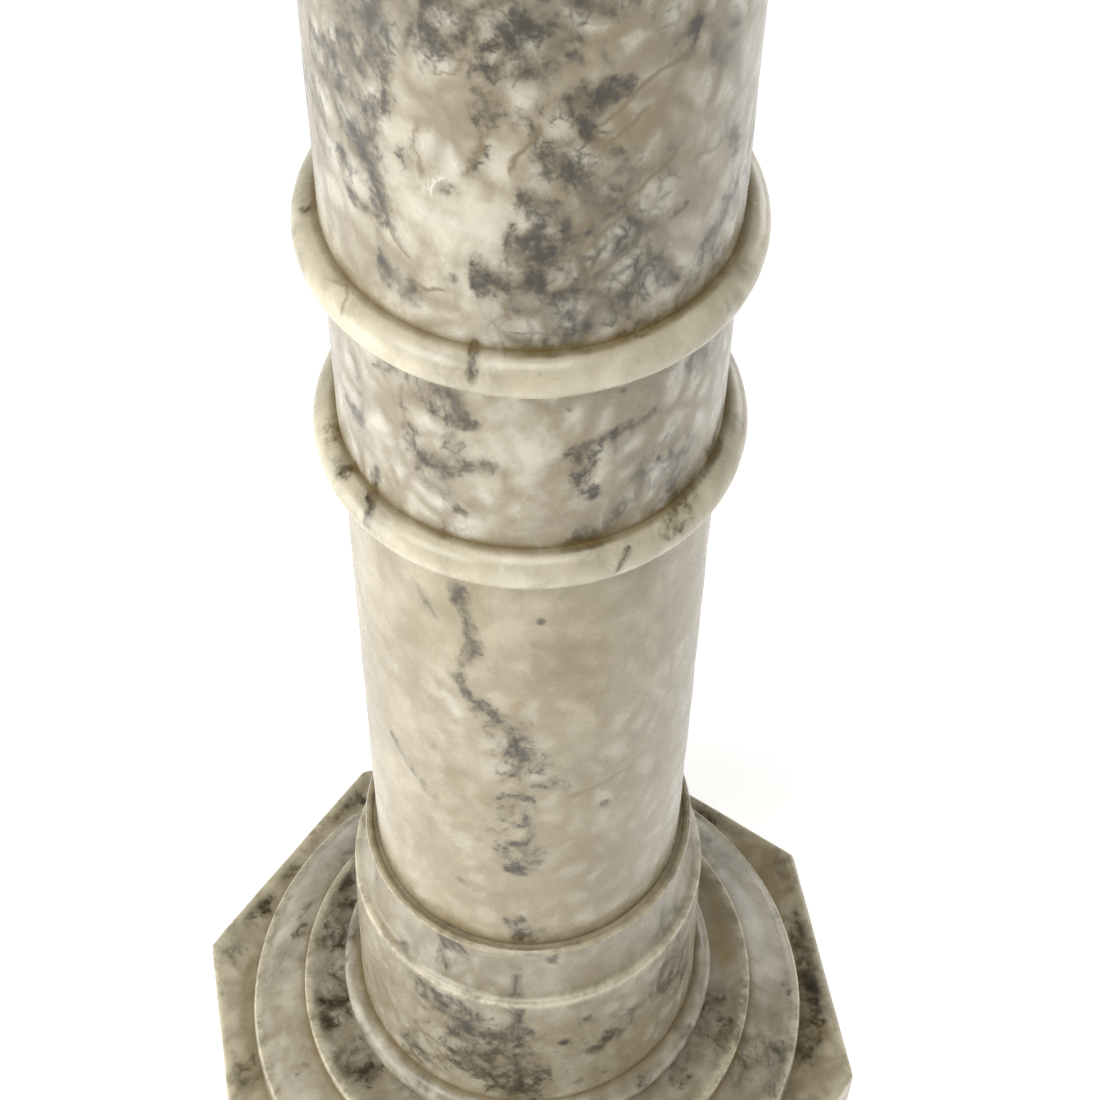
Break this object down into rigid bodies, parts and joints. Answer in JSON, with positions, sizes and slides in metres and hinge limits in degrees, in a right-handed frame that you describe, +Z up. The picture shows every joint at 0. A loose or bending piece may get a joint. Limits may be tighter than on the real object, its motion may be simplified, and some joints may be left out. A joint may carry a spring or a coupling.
{
  "type": "marble pedestal",
  "caption": "Tall round column pedestal of veined cream and grey marble on an octagonal plinth, with turned base, ringed shaft and octagonal top for a bust or urn.",
  "frame": {"origin": "centre of the plinth's underside, on the floor", "axes": "+Z up along the column; the octagonal slabs have flat sides facing along X and Y"},
  "size_m": [0.305, 0.305, 1],
  "materials": {
    "plinth": "worn polish",
    "base": "soft polish",
    "lower_shaft": "soft polish",
    "upper_shaft": "soft polish",
    "capital": "soft polish",
    "top": "soft polish"
  },
  "bodies": {
    "root": {"plinth": "plinth", "base": "base", "lower_shaft": "lower_shaft", "upper_shaft": "upper_shaft", "capital": "capital", "top": "top"}
  },
  "joints": []
}
